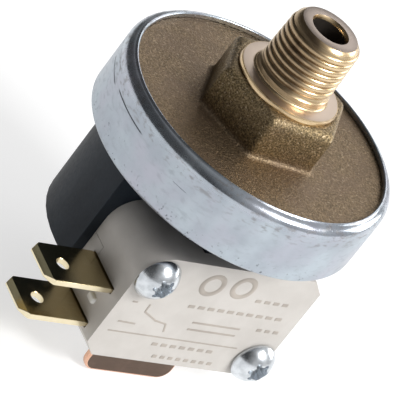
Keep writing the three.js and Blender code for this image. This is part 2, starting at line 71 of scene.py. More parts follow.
def take(*pieces):
    """Selects these pieces alone and makes the first one active."""
    if bpy.context.mode != "OBJECT":
        bpy.ops.object.mode_set(mode="OBJECT")
    bpy.ops.object.select_all(action="DESELECT")
    for piece in pieces:
        piece.select_set(True)
    bpy.context.view_layer.objects.active = pieces[0] if pieces else None


def pick_faces(piece, wanted):
    """Leaves edit mode and selects the faces for which wanted(centre in mm, normal) is true."""
    take(piece)
    bpy.context.scene.tool_settings.mesh_select_mode = (False, False, True)
    mesh = piece.data
    for item in (*mesh.vertices, *mesh.edges):
        item.select = False
    for face in mesh.polygons:
        face.select = bool(wanted(face.center / MM, face.normal))
    return sum(face.select for face in mesh.polygons)


def named(name):
    piece = bpy.context.object
    piece.name = piece.data.name = name
    return piece


take()
print("nothing is selected")

# %% [markdown]
# Modifiers such as bevels and booleans are applied one at a time, so each piece ends as a plain mesh.

# %% Applying a modifier
def apply(piece, kind, **settings):
    take(piece)
    modifier = piece.modifiers.new(kind.lower(), kind)
    for setting, value in settings.items():
        setattr(modifier, setting, value)
    bpy.ops.object.modifier_apply(modifier=modifier.name)


def tidy_mesh(piece, merge=0.001):
    """Merges doubles and turns the faces outward."""
    take(piece)
    bpy.ops.object.mode_set(mode="EDIT")
    bpy.ops.mesh.select_all(action="SELECT")
    bpy.ops.mesh.remove_doubles(threshold=merge * MM)
    bpy.ops.mesh.normals_make_consistent(inside=False)
    bpy.ops.object.mode_set(mode="OBJECT")


def smooth(piece, degrees=35):
    take(piece)
    bpy.ops.object.shade_smooth_by_angle(angle=math.radians(degrees))


def join(name, *pieces):
    take(*pieces)
    bpy.ops.object.join()
    return named(name)


def carve(piece, cutter):
    """Cuts one piece out of another, and throws the cutter away."""
    apply(piece, "BOOLEAN", operation="DIFFERENCE", object=cutter, solver="EXACT", use_self=True)
    bpy.data.objects.remove(cutter)


print("helpers ready: apply, tidy_mesh, smooth, join, carve")


# %% [markdown]
# Most of the metal parts come off a lathe or a spinning chuck. The matching operation here is Spin:
# the outline of half a section is drawn one point after another and turned once round the axis.

# %% Turning an outline round the Z axis
def spun(name, outline, steps=128, closed=True):
    """A piece turned from [radius, z] points in millimetres."""
    take()
    first_r, first_z = outline[0]
    bpy.ops.mesh.primitive_plane_add(size=MM, location=mm(first_r, 0, first_z))
    bpy.ops.object.transform_apply(location=True)
    bpy.ops.object.mode_set(mode="EDIT")
    bpy.ops.mesh.select_mode(type="VERT")
    bpy.ops.mesh.select_all(action="SELECT")
    bpy.ops.mesh.merge(type="CENTER")
    last = outline[0]
    for point in list(outline[1:]) + ([outline[0]] if closed else []):
        step = mm(point[0] - last[0], 0, point[1] - last[1])
        bpy.ops.mesh.extrude_vertices_move(TRANSFORM_OT_translate={"value": step})
        last = point
    bpy.ops.mesh.select_all(action="SELECT")
    bpy.ops.mesh.spin(steps=steps, angle=2 * math.pi, center=(0, 0, 0), axis=(0, 0, 1))
    bpy.ops.mesh.select_all(action="SELECT")
    bpy.ops.mesh.remove_doubles(threshold=0.002 * MM)
    bpy.ops.mesh.normals_make_consistent(inside=False)
    bpy.ops.object.mode_set(mode="OBJECT")
    piece = named(name)
    print(name, len(piece.data.polygons), "faces")
    return piece


def bend(centre, radius, start, end, steps=8):
    """Points on an arc, in degrees, for the outline of a turned piece."""
    angles = [math.radians(start + (end - start) * i / steps) for i in range(steps + 1)]
    return [(centre[0] + radius * math.cos(a), centre[1] + radius * math.sin(a)) for a in angles]


print("helpers ready: spun, bend")


# %% [markdown]
# ## Finishes
#
# A finish is a material made of nodes. Sums of shader values are easier to read as plain expressions, so
# a small class wraps an output and lets Python's own signs add the Math nodes.

# %% Shader values that can be added and multiplied
class Value:
    def __init__(self, finish, socket):
        self.finish, self.socket = finish, socket

    def math(self, operation, *others):
        return self.finish.node("ShaderNodeMath", inputs=(self, *others), operation=operation)

    def __add__(self, other):
        return self.math("ADD", other)

    def __mul__(self, other):
        return self.math("MULTIPLY", other)

    def __sub__(self, other):
        return self.math("SUBTRACT", other)

    def __rsub__(self, other):
        return self.finish.node("ShaderNodeMath", inputs=(other, self), operation="SUBTRACT")

    def __truediv__(self, other):
        return self.math("DIVIDE", other)

    __radd__, __rmul__ = __add__, __mul__

    def between(self, low, high):
        """0 below low and 1 above high, with a soft step; the two may be swapped to fall instead."""
        return self.finish.node("ShaderNodeMapRange", interpolation_type="SMOOTHSTEP",
                                inputs={"Value": self, "From Min": low, "From Max": high})


print("shader values can be written as sums")


# %% [markdown]
# Each finish starts from the piece's own coordinates in millimetres, so grain sizes are real sizes and a
# pattern stays on its piece when the piece moves.

# %% The maker of finishes
class Finish:
    def __init__(self, name, **constants):
        self.material = bpy.data.materials.new(name)
        self.material.use_nodes = True
        self.tree = self.material.node_tree
        self.shader = self.tree.nodes["Principled BSDF"]
        for label, value in constants.items():
            self.shader.inputs[label.replace("_", " ")].default_value = value
        self.spot = self.node("ShaderNodeTexCoord", output="Object")
        self.place = self.node("ShaderNodeVectorMath", inputs={0: self.spot, "Scale": 1 / MM},
                               operation="SCALE")

    def node(self, kind, inputs=(), output=0, **settings):
        node = self.tree.nodes.new(kind)
        for setting, value in settings.items():
            setattr(node, setting, value)
        pairs = inputs.items() if isinstance(inputs, dict) else enumerate(inputs)
        for label, value in pairs:
            if isinstance(value, Value):
                self.tree.links.new(value.socket, node.inputs[label])
            else:
                node.inputs[label].default_value = value
        return Value(self, node.outputs[output])

    def axis(self, letter):
        return self.node("ShaderNodeSeparateXYZ", inputs=(self.place,), output="XYZ".index(letter))

    def stretched(self, x=1, y=1, z=1):
        """The coordinates in millimetres, scaled apart along each axis."""
        return self.node("ShaderNodeVectorMath", inputs=(self.place, (x, y, z)), operation="MULTIPLY")

    def grain(self, size, detail=3, where=None, roughness=0.5):
        """Noise whose features are about size millimetres across, from 0 to 1."""
        return self.node("ShaderNodeTexNoise", inputs={"Vector": where or self.place, "Scale": 1 / size,
                                                       "Detail": detail, "Roughness": roughness})

    def blend(self, low, high, factor):
        """A colour between two, which may themselves be blends."""
        low, high = ((*c, 1) if isinstance(c, tuple) else c for c in (low, high))
        return self.node("ShaderNodeMix", inputs={0: factor, 6: low, 7: high}, output=2, data_type="RGBA")

    def relief(self, height, depth, strength=1):
        """Bumps: height from 0 to 1 stands for depth millimetres."""
        bump = self.node("ShaderNodeBump", inputs={"Height": height, "Distance": depth * MM,
                                                   "Strength": strength})
        self.set(Normal=bump)

    def set(self, **links):
        for label, value in links.items():
            self.tree.links.new(value.socket, self.shader.inputs[label.replace("_", " ")])


def wear(piece, *finishes):
    """Gives a piece its finishes, one per material slot."""
    piece.data.materials.clear()
    for finish in finishes:
        piece.data.materials.append(finish.material)


def finish_piece(piece, body, slot, *finishes, instead_of=()):
    """Gives a new piece its finishes, puts it on its moving body and hides the frame's nodes it stands in
    for.
    """
    wear(piece, *finishes)
    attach(piece, body)
    if instead_of:
        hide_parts(*instead_of)
    print(piece.name, len(piece.data.polygons), "faces on", body)


def second_finish(piece, wanted):
    """Gives the piece's second finish to the faces for which wanted(centre in mm, normal) is true."""
    count = pick_faces(piece, wanted)
    piece.active_material_index = 1
    bpy.ops.object.mode_set(mode="EDIT")
    bpy.ops.object.material_slot_assign()
    bpy.ops.object.mode_set(mode="OBJECT")
    print(piece.name, count, "faces in the second finish")


print("helpers ready: Finish, wear, finish_piece, second_finish")


# %% [markdown]
# The brass body is hot forged and left as it comes from the die: a dull brown skin, grainy like fine
# sand, in which single grains catch the light. Two sizes of noise give the grain and its bumps, and a
# slow one gives the cloudy oxide. The flat flange is the browner and duller part, and the hexagon, which
# the die rubbed, is more golden, so a soft step in height leads from one to the other.

# %% Forged brass
forged_brass = Finish("forged_brass", Metallic=1)
f = forged_brass
oxide = f.grain(5, 3).between(0.35, 0.7)
sand = f.grain(0.22, 3, roughness=0.6)
glint = f.grain(0.3, 1).between(0.6, 0.74)
rubbed_by_die = f.axis("Z").between(-6.6, -5.4)
dull = f.blend((0.15, 0.108, 0.065), (0.36, 0.265, 0.165), sand.between(0.33, 0.68))
golden = f.blend((0.11, 0.083, 0.046), (0.4, 0.3, 0.165), sand.between(0.34, 0.68))
skin = f.blend(f.blend(dull, golden, rubbed_by_die), (0.235, 0.17, 0.12), oxide * (0.6 - 0.3 * rubbed_by_die))
f.set(Base_Color=f.blend(skin, (0.78, 0.62, 0.42), glint * (0.25 + 0.4 * rubbed_by_die)),
      Roughness=0.5 - 0.15 * glint)
f.relief(sand + f.grain(0.5, 2) * 0.6, 0.13, 0.9)
print("forged_brass")

# %% [markdown]
# The nipple is turned and threaded after forging. Its bright brass shows fine turning lines, rings of
# nearly constant height, and its flat faces are paler and a little rougher from the facing tool. The
# terminal side of the thread is painted dark brown as shade, with a few dark spots. The bore behind
# the countersink is painted near black, as the shade deep in the hole.

# %% Machined brass
machined_brass = Finish("machined_brass", Metallic=1)
f = machined_brass
tool_marks = f.grain(0.09, 2, f.stretched(0.05, 0.05, 1))
height = f.axis("Z")
shoulder_face = height.between(0.03, 0.004) * height.between(-0.06, -0.01)
nose_face = height.between(8.7, 8.745)
turned_face = shoulder_face + nose_face
gold = f.blend((0.58, 0.42, 0.235), (0.76, 0.59, 0.37), tool_marks.between(0.3, 0.7))
tarnish = f.grain(2.2, 3).between(0.5, 0.75)
# Painted shade: the terminal side of the thread is darkened towards brown as if in shade, and tarnish and a
# few dark spots vary it.
painted_shade_side = ((f.axis("X") * -0.98 - f.axis("Y") * 0.15) / 4.9).between(0.3, 0.9)
spots = f.grain(0.7, 2).between(0.66, 0.72)
tone_mask = painted_shade_side * (0.55 + 0.25 * tarnish + 0.2 * spots) * height.between(0.2, 0.9)
# The dark brown mixed in here is that painted shade on the terminal side.
gold = f.blend(f.blend(gold, (0.38, 0.26, 0.16), tarnish * 0.5), (0.15, 0.1, 0.065), tone_mask)
faced_colour = f.blend((0.52, 0.425, 0.35), (0.35, 0.29, 0.25), nose_face)
f.set(Base_Color=f.blend(gold, faced_colour, turned_face),
      Roughness=0.22 + 0.1 * tool_marks + 0.14 * turned_face + 0.1 * tone_mask)
f.relief(tool_marks, 0.008, 0.6)

# The bore's finish is painted near black: it stands for the shade deep inside the hole.
bore_painted_shade = Finish("bore_painted_shade", Metallic=0.5)
f = bore_painted_shade
drilled = f.grain(0.2, 3, f.stretched(0.2, 0.2, 1))
f.set(Base_Color=f.blend((0.012, 0.009, 0.007), (0.035, 0.026, 0.018), drilled),
      Roughness=0.5 + 0.2 * drilled)
f.relief(drilled, 0.02, 0.5)
print("machined_brass, bore_painted_shade")

# %% [markdown]
# The ring is zinc plated steel. The plating is a cool grey, clouded blue and lilac, with pits near the
# rear edge, a few specks, brownish streaks where the curl was rolled, and two long dark scratches on the
# terminal side. A scratch is a line at a height that changes with the bearing round the axis.

# %% Zinc plate with handling marks
zinc_plate = Finish("zinc_plate", Metallic=0.92)
f = zinc_plate
clouds = f.grain(4, 4).between(0.3, 0.75)
x_mm, y_mm, z_mm = (f.axis(letter) for letter in "XYZ")
bearing = y_mm.math("ARCTAN2", x_mm * -1)


def scratch(middle, half_length, height, slope, width):
    """A dark line round the ring, with its middle at a bearing from -X in radians."""
    along = (bearing + middle).math("ABSOLUTE")
    across = (z_mm - height - (bearing + middle) * slope).math("ABSOLUTE")
    return across.between(width, width * 0.35) * along.between(half_length, half_length * 0.8)


scratches = scratch(0, 0.215, -9.16, 0.1, 0.13).math("MAXIMUM", scratch(-0.42, 0.16, -9.42, 1.2, 0.1))
scratches = scratches.math("MAXIMUM", scratch(0.61, 0.06, -10.2, 0.1, 0.06) * 0.5)
pits = f.grain(0.5, 2).between(0.64, 0.7) * z_mm.between(-12.4, -14.6)
specks = f.grain(0.55, 2).between(0.73, 0.77)
streaks = f.grain(1.1, 4, f.stretched(1, 1, 2.5)).between(0.5, 0.68)
curl = z_mm.between(-9.6, -8.2)
plate = f.blend((0.38, 0.42, 0.47), (0.51, 0.57, 0.62), clouds)
plate = f.blend(plate, (0.47, 0.47, 0.54), f.grain(7, 3).between(0.45, 0.7) * 0.7)
plate = f.blend(plate, (0.26, 0.25, 0.25), streaks * (0.07 + 0.55 * curl))
stains = scratches.math("MAXIMUM", pits * 0.75).math("MAXIMUM", specks * 0.5)
f.set(Base_Color=f.blend(plate, (0.09, 0.1, 0.11), stains),
      Roughness=0.14 + z_mm.between(-7.4, -7.9) * 0.16 + 0.18 * clouds + 0.12 * streaks + 0.2 * scratches)
f.relief(f.grain(0.6, 4) * 0.5 - stains, 0.025, 0.6)
print("zinc_plate")

# %% [markdown]
# Screws and small steel parts carry the same plating in a brighter, smoother coat.

# %% Bright zinc and steels
bright_zinc = Finish("bright_zinc", Metallic=1)
f = bright_zinc
haze = f.grain(1.1, 4)
f.set(Base_Color=f.blend((0.52, 0.55, 0.58), (0.7, 0.73, 0.76), haze.between(0.3, 0.7)),
      Roughness=0.17 + 0.14 * haze)
f.relief(f.grain(0.5, 2), 0.01, 0.3)

spring_wire = Finish("spring_wire", Metallic=1)
f = spring_wire
drawn = f.grain(0.3, 3, f.stretched(1, 1, 3))
f.set(Base_Color=f.blend((0.3, 0.31, 0.33), (0.5, 0.51, 0.53), drawn), Roughness=0.3 + 0.2 * drawn)
f.relief(drawn, 0.01, 0.4)

silver_alloy = Finish("silver_alloy", Metallic=1)
f = silver_alloy
struck = f.grain(0.25, 3)
f.set(Base_Color=f.blend((0.62, 0.61, 0.58), (0.8, 0.79, 0.76), struck), Roughness=0.2 + 0.25 * struck)
f.relief(struck, 0.01, 0.4)
print("bright_zinc, spring_wire, silver_alloy")

# %% [markdown]
# The housing is a glass filled black moulding with a satin skin that is slightly blue in the light. The
# microswitch is moulded in warm cream plastic, matt, with a faint mottling from its mould.

# %% Mouldings
black_plastic = Finish("black_plastic", Specular_IOR_Level=0.22)
f = black_plastic
mould = f.grain(0.5, 4)
wipe = f.grain(6, 3, f.stretched(1, 1, 0.4))
f.set(Base_Color=f.blend((0.007, 0.011, 0.017), (0.017, 0.024, 0.034), wipe.between(0.3, 0.75)),
      Roughness=0.42 + 0.2 * mould)
f.relief(mould + f.grain(0.12, 2) * 0.5, 0.02, 0.5)


def light_moulding(name, shade, fleck):
    """A pale matt plastic, mottled between two colours."""
    made = Finish(name, IOR=1.48)
    mottle, skin = made.grain(3.5, 4), made.grain(0.3, 3)
    made.set(Base_Color=made.blend(shade, fleck, mottle.between(0.3, 0.75)), Roughness=0.46 + 0.2 * skin)
    made.relief(skin, 0.012, 0.5)
    return made


cream_plastic = light_moulding("cream_plastic", (0.545, 0.515, 0.48), (0.605, 0.575, 0.54))
raised_mark = light_moulding("moulded_mark", (0.37, 0.33, 0.29), (0.46, 0.41, 0.36))
white_plastic = light_moulding("white_plastic", (0.8, 0.79, 0.76), (0.86, 0.85, 0.82))
rubber = light_moulding("rubber", (0.012, 0.012, 0.012), (0.025, 0.025, 0.025))
print("mouldings done")

# %% [markdown]
# The two blade terminals are stamped from rolled brass with a thin bright plating: the rolled faces are
# smooth and mirror what stands near them, while the sheared edges are finely torn and painted a paler
# metal as a highlight. The common terminal is copper, browned on its face, with its edge painted bright
# as a highlight.

# %% Terminal metals
def rolled_metal(name, dark, light, roughness, direction):
    made = Finish(name, Metallic=1)
    rolling = made.grain(0.25, 3, made.stretched(*direction))
    tone_mask = made.grain(2.6, 3).between(0.45, 0.75)
    made.set(Base_Color=made.blend(dark, light, rolling * 0.5 + tone_mask * 0.5),
             Roughness=roughness + 0.12 * rolling + 0.08 * tone_mask)
    made.relief(rolling, 0.006, 0.4)
    return made


# The edge finishes are brighter copies of the face metals: a painted highlight along the sheared edges.
blade_face = rolled_metal("plated_brass", (0.5, 0.41, 0.22), (0.64, 0.54, 0.33), 0.12, (0.15, 1, 1))
blade_edge_highlight = rolled_metal("plated_brass_edge_highlight", (0.78, 0.68, 0.46), (0.9, 0.82, 0.62), 0.25, (1, 1, 0.3))
# The bright copper of the edge finish is a painted highlight along the rim.
copper_face = rolled_metal("copper", (0.11, 0.078, 0.06), (0.19, 0.13, 0.1), 0.3, (0.2, 1, 1))
copper_edge_highlight = rolled_metal("copper_edge_highlight", (0.72, 0.42, 0.3), (0.86, 0.58, 0.42), 0.22, (1, 1, 0.4))
print("terminal metals done")

# %% [markdown]
# ## The fitting
#
# The forging is one lump: a round flange with a hexagon standing on it. Where a hammered shape turns a
# corner the metal flows in a soft radius. A cylinder and a six sided prism are overlapped and remeshed
# into one skin, and smoothing that skin makes every inner and outer corner flow as in the die.

# %% Forge the flange and the hexagon
flange_r, flange_top, flange_bottom = 18.05, -6.74, -9.8
hex_r, hex_top, hex_foot, hex_corner = 9.1, -0.62, -8.5, 52
shoulder_r = 6.9


def disc(radius, bottom, top, sides=96, centre=(0, 0)):
    """A closed cylinder between two heights."""
    take()
    bpy.ops.mesh.primitive_cylinder_add(vertices=sides, radius=radius * MM, depth=(top - bottom) * MM,
                                        location=mm(*centre, (top + bottom) / 2))
    bpy.ops.object.transform_apply(location=True)
    return bpy.context.object


flange = disc(flange_r, flange_bottom, flange_top)
take()
bpy.ops.mesh.primitive_cylinder_add(vertices=6, radius=hex_r * MM, depth=(hex_top - hex_foot) * MM,
                                    location=mm(0, 0, (hex_top + hex_foot) / 2),
                                    rotation=(0, 0, math.radians(hex_corner - 30)))
bpy.ops.object.transform_apply(location=True, rotation=True)
hexagon = bpy.context.object
top_faces = pick_faces(hexagon, lambda centre, normal: normal.z > 0.9)
bpy.ops.object.mode_set(mode="EDIT")
bpy.ops.mesh.bevel(offset=0.9 * MM, segments=2, affect="EDGES")
bpy.ops.object.mode_set(mode="OBJECT")
forging = join("fitting_forging", flange, hexagon)
print("blank made, top faces bevelled:", top_faces)

# %% [markdown]
# The lathe faces the round shoulder and bores the middle. Those cuts are made while the blank still has
# few faces, because a boolean on a fine mesh is slow: a seat for the machined piece, its bore, and the
# chamber for the diaphragm in the back. The remesh comes after them.

# %% Cut the seats, then flow the skin
seat, through_bore, chamber = (shoulder_r - 0.15, -2, 1), (3.2, -12, 0), (13, -12, -8.8)
for radius, bottom, top in (seat, through_bore, chamber):
    carve(forging, disc(radius, bottom, top, 64))
apply(forging, "REMESH", mode="VOXEL", voxel_size=0.26 * MM)
apply(forging, "SMOOTH", factor=0.5, iterations=7)
smooth(forging, 60)
finish_piece(forging, "switch_body", "brass", forged_brass, instead_of=["brass_fitting"])

# %% [markdown]
# The nipple is turned with its bore, its countersink and a chamfered nose. The neck under the thread is
# left smooth and bright, and runs into the faced shoulder in a small radius.

# %% Turn the nipple
bore_r, tip_z = 2.3, 8.75
pitch, turns, thread_start = 0.907, 7, 1.35
root_r, ridge_r = 4.7, 0.34
nipple = spun("machined_nipple", [
    (bore_r, -8.9), (bore_r, tip_z - 0.5), (bore_r + 0.28, tip_z),
    (root_r - 0.88, tip_z), (root_r - 0.79, tip_z - 0.06), (root_r - 0.28, tip_z - 0.66),
    (root_r, thread_start), (root_r + 0.3, thread_start - 0.35),
    *bend((root_r + 0.7, 0.4), 0.4, 180, 270, 5),
    (shoulder_r - 0.3, 0), (shoulder_r - 0.08, -0.08), (shoulder_r, -0.3), (shoulder_r, -0.95),
    (3.3, -1.2), (3.25, -8.9)], steps=160)

# %% [markdown]
# The thread is a ridge that climbs as it turns. The Screw modifier sweeps a small flattened ring along
# that path, and a taper narrows it towards the nose, as on a taper pipe thread. The crest is kept round,
# so that each turn carries its own light and dark line, which a flat crest would not.

# %% Wind the thread
taper_per_mm = 0.0072
ridge_place = mm(root_r * (1 + thread_start * taper_per_mm), 0, thread_start)
take()
bpy.ops.mesh.primitive_circle_add(vertices=10, radius=ridge_r * MM, location=ridge_place,
                                  rotation=(math.pi / 2, 0, 0), fill_type="NOTHING")
bpy.ops.object.transform_apply(location=True, rotation=True)
bpy.ops.object.mode_set(mode="EDIT")
bpy.ops.mesh.select_all(action="SELECT")
bpy.ops.transform.resize(value=(0.66, 1, 1.3), center_override=ridge_place)
bpy.ops.object.mode_set(mode="OBJECT")
thread = named("thread")
apply(thread, "SCREW", screw_offset=pitch * turns * MM, angle=2 * math.pi * turns, steps=64 * turns,
      render_steps=64 * turns, use_merge_vertices=False)
take(thread)
bpy.ops.object.mode_set(mode="EDIT")
bpy.ops.mesh.select_all(action="DESELECT")
bpy.ops.mesh.select_non_manifold()
bpy.ops.mesh.fill()
bpy.ops.object.mode_set(mode="OBJECT")
tidy_mesh(thread)
apply(thread, "SIMPLE_DEFORM", deform_method="TAPER", deform_axis="Z",
      factor=-taper_per_mm * thread.dimensions.z / MM)
nipple = join("machined_nipple", nipple, thread)
smooth(nipple, 40)
finish_piece(nipple, "switch_body", "brass", machined_brass, bore_painted_shade)
second_finish(nipple, lambda centre, normal: math.hypot(centre.x, centre.y) < bore_r + 0.02
              and centre.z < tip_z - 0.5)
print("nipple box in mm:", [round(v / MM, 2) for v in nipple.dimensions])

# %% [markdown]
# ## The crimp ring
#
# A steel cup holds the brass flange, the diaphragm and the housing together. Its front rim is rolled
# over the flange in a soft curl that ends in a thin edge, and its back is pressed in over the housing.

# %% Spin the ring
ring_r, ring_front, ring_back, wall = 19, -6, -15.18, 0.85
lip_r = 17.58
ring = spun("crimped_ring", [
    (ring_r - wall, ring_back + wall), (16.3, ring_back + wall),
    *bend((16.45, ring_back + 0.4), 0.38, 170, 270, 4),
    *bend((ring_r - 0.75, ring_back + 0.75), 0.75, -90, 0, 6),
    (ring_r, -9), (ring_r, ring_front - 1.95),
    *bend((ring_r - 1.35, ring_front - 1.5), 1.35, 0, 78, 10),
    (lip_r + 0.22, ring_front),
    *bend((lip_r + 0.2, ring_front - 0.24), 0.24, 90, 180, 4),
    (lip_r, flange_top + 0.06), (ring_r - wall, flange_top + 0.06)], steps=224)
smooth(ring, 42)
finish_piece(ring, "switch_body", "zinc_plated_steel", zinc_plate, instead_of=["crimp_ring"])

# %% [markdown]
# ## Mouldings
#
# The housing, the microswitch's case and its back plate already have the right shape. What a moulding
# also has is a small radius on every edge, from the mould. A copy of each node is merged into one skin,
# its flat areas are cleared of needless edges, and its sharp edges are rounded.

# %% Copy a node and round its edges
def copied(name, node):
    """A free copy of one of the frame's nodes, with its loose triangles merged."""
    take(nodes[node])
    bpy.ops.object.duplicate()
    piece = named(name)
    world = piece.matrix_world.copy()
    piece.parent = None
    piece.matrix_world = world
    for tag in [key for key in piece.keys() if key.startswith("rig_")]:
        del piece[tag]
    tidy_mesh(piece, 0.01)
    return piece


def softened(name, node, radius, segments=2, limit=38, shade=40):
    """A copy of a node whose sharp edges are rounded by a radius in millimetres."""
    piece = copied(name, node)
    take(piece)
    bpy.ops.object.mode_set(mode="EDIT")
    bpy.ops.mesh.select_all(action="SELECT")
    bpy.ops.mesh.dissolve_limited(angle_limit=math.radians(1))
    bpy.ops.object.mode_set(mode="OBJECT")
    apply(piece, "BEVEL", width=radius * MM, segments=segments, limit_method="ANGLE",
          angle_limit=math.radians(limit), use_clamp_overlap=True)
    smooth(piece, shade)
    apply(piece, "WEIGHTED_NORMAL", keep_sharp=True)
    return piece


housing = softened("moulded_housing", "switch_housing", 0.3)
finish_piece(housing, "switch_body", "black_plastic", black_plastic, instead_of=["switch_housing"])
case = softened("microswitch_case", "switch_case", 0.22)
finish_piece(case, "switch_body", "cream_plastic", cream_plastic, instead_of=["switch_case"])
back_plate = softened("microswitch_back_plate", "switch_back_plate", 0.16)
finish_piece(back_plate, "switch_body", "cream_plastic", cream_plastic, instead_of=["switch_back_plate"])

# %% [markdown]
# The marks on the case are raised by the mould. A bar is a cube stretched between two points with its
# edges bevelled, and an ejector ring is a torus pressed flat. Both are gathered in a list as they are
# made, because they become one piece at the end.

# %% Shapes for the marks
face_y, mark_rise = -12.8, 0.05
mark_pieces = []


def bar(start, end, width=0.26):
    """A low rounded bar on the marked face, from one (x, z) to another."""
    run = (end[0] - start[0], end[1] - start[1])
    take()
    bpy.ops.mesh.primitive_cube_add(
        size=MM, location=mm((start[0] + end[0]) / 2, face_y, (start[1] + end[1]) / 2),
        rotation=(0, -math.atan2(run[1], run[0]), 0), scale=(math.hypot(*run), mark_rise * 2, width))
    bpy.ops.object.transform_apply(location=True, rotation=True, scale=True)
    piece = bpy.context.object
    apply(piece, "BEVEL", width=0.03 * MM, segments=1)
    mark_pieces.append(piece)


def ejector_ring(x, z, radius):
    take()
    bpy.ops.mesh.primitive_torus_add(major_segments=40, minor_segments=8, major_radius=radius * MM,
                                     minor_radius=0.37 * MM, location=mm(x, face_y, z),
                                     rotation=(math.pi / 2, 0, 0))
    bpy.ops.object.transform_apply(location=True, rotation=True)
    bpy.ops.object.mode_set(mode="EDIT")
    bpy.ops.mesh.select_all(action="SELECT")
    bpy.ops.transform.resize(value=(1, 0.3, 1), center_override=mm(x, face_y, z))
    bpy.ops.object.mode_set(mode="OBJECT")
    mark_pieces.append(bpy.context.object)


print("marked face at y", face_y, "mm")

# %% [markdown]
# The marked face carries a changeover contact diagram, a dividing line, two ejector rings and rows of
# data. The rows are given as plain dashes, with no words or marks of any maker. All stand a few
# hundredths of a millimetre proud.

# %% Lay out the marks
bar((-12.3, -32.45), (8.2, -32.5), 0.2)
diagram = [(-9.1, -27.4), (-9.05, -28.7), (-6.6, -29.9), (-4.8, -30.2), (-4.3, -31.5)]
for start, end in zip(diagram, diagram[1:]):
    bar(start, end)
bar((-11.85, -30.75), (-9.15, -30.85))
bar((-11.9, -27.3), (-11.1, -27.35))
rows = [(-24.3, 5.4, 11.4, 0.9), (-26.75, -3.6, 12.4, 1), (-29, 8.9, 12.6, 0.8),
        (-33.7, -4.6, 6.4, 0.9), (-35.7, -3.2, 7.4, 0.7)]
dash_width, dash_gap = 0.5, 0.55
for height, left, right, length in rows:
    x = left
    while x + length < right:
        bar((x, height), (x + length, height), dash_width)
        x += length + dash_gap
for height in (-29.3, -30.5):
    bar((-1.2, height), (6.4, height), 0.3)
ejector_ring(-2.4, -22.9, 1.5)
ejector_ring(2.3, -22.6, 1.5)
marks = join("moulded_marks", *mark_pieces)
smooth(marks, 40)
finish_piece(marks, "switch_body", "cream_plastic", raised_mark)

# %% [markdown]
# A small moulded rest stands between the two blades on the end of the case.

# %% The rest between the blades
take()
bpy.ops.mesh.primitive_cube_add(size=MM, location=mm(-13.95, -9.1, -31), scale=(0.9, 1.5, 1))
bpy.ops.object.transform_apply(location=True, scale=True)
rest = named("blade_rest")
apply(rest, "BEVEL", width=0.3 * MM, segments=3)
smooth(rest, 60)
finish_piece(rest, "switch_body", "cream_plastic", white_plastic)

# %% [markdown]
# ## Terminals
#
# A stamped blade has flat rolled faces and sheared edges. The copies get a hair of a bevel so the edges
# catch the light, and the sheared sides get the paler metal as a painted highlight, picked out by where each
# face looks.

# %% Stamp the blade terminals
for name, node in (("upper_blade", "nc_terminal"), ("lower_blade", "no_terminal")):
    blade = softened(name, node, 0.07, segments=1, limit=30, shade=12)
    finish_piece(blade, "switch_body", "plated_brass", blade_face, blade_edge_highlight, instead_of=[node])
    # The side faces get the paler metal: a painted highlight on the edges.
    second_finish(blade, lambda centre, normal: abs(normal.z) < 0.5)

# %% [markdown]
# The common blade comes out below the case. Its lower corners are round and its rim is rolled over, so
# that part is modelled new, and the copy of the node keeps only what is inside the case.

# %% Stamp the common blade
com_low, com_high = (-10.6, -11.5, -40.6), (2.9, -10.5, -36.9)
take()
bpy.ops.mesh.primitive_cube_add(size=MM, location=mm(*[(a + b) / 2 for a, b in zip(com_low, com_high)]),
                                scale=[b - a for a, b in zip(com_low, com_high)])
bpy.ops.object.transform_apply(location=True, scale=True)
blade_end = named("common_blade_end")
corners = [edge for edge in blade_end.data.edges
           if all(blade_end.data.vertices[i].co.z < com_low[2] * MM + 1e-6 for i in edge.vertices)
           and abs(blade_end.data.vertices[edge.vertices[0]].co.x
                   - blade_end.data.vertices[edge.vertices[1]].co.x) < 1e-6]
for item in (*blade_end.data.polygons, *blade_end.data.vertices, *blade_end.data.edges):
    item.select = False
bpy.context.scene.tool_settings.mesh_select_mode = (False, True, False)
for edge in corners:
    edge.select = True
bpy.ops.object.mode_set(mode="EDIT")
bpy.ops.mesh.bevel(offset=1.8 * MM, segments=8, affect="EDGES")
bpy.ops.object.mode_set(mode="OBJECT")
apply(blade_end, "BEVEL", width=0.3 * MM, segments=3, limit_method="ANGLE", angle_limit=math.radians(40))
print("corners rounded:", len(corners))

# %% [markdown]
# The copy is cut off where the new end begins, the two are joined, and the rim gets the bright metal as a
# painted highlight: every face that doesn't look straight out of the flat sides.

# %% Join the strap to the blade
strap = softened("common_strap", "com_terminal", 0.04, segments=1, limit=30, shade=12)
take(strap)
bpy.ops.object.mode_set(mode="EDIT")
bpy.ops.mesh.select_all(action="SELECT")
bpy.ops.mesh.bisect(plane_co=mm(0, 0, com_high[2]), plane_no=(0, 0, 1), use_fill=True, clear_inner=True)
bpy.ops.object.mode_set(mode="OBJECT")
common_blade = join("common_blade", blade_end, strap)
smooth(common_blade, 35)
apply(common_blade, "WEIGHTED_NORMAL", keep_sharp=True)
finish_piece(common_blade, "switch_body", "copper", copper_face, copper_edge_highlight, instead_of=["com_terminal"])
# The rim faces get the bright copper: a painted highlight.
second_finish(common_blade, lambda centre, normal: abs(normal.y) < 0.97)

# %% [markdown]
# ## Mounting screws
#
# Two thread forming screws with domed heads hold the microswitch. The head is turned from an arc, and a
# six lobed socket is sunk in it with a cutter made of one round post and six small ones.

# %% Turn a screw and sink its socket
head_r, head_rise, shank_r, shank_end = 3, 2.35, 1.45, -16.8


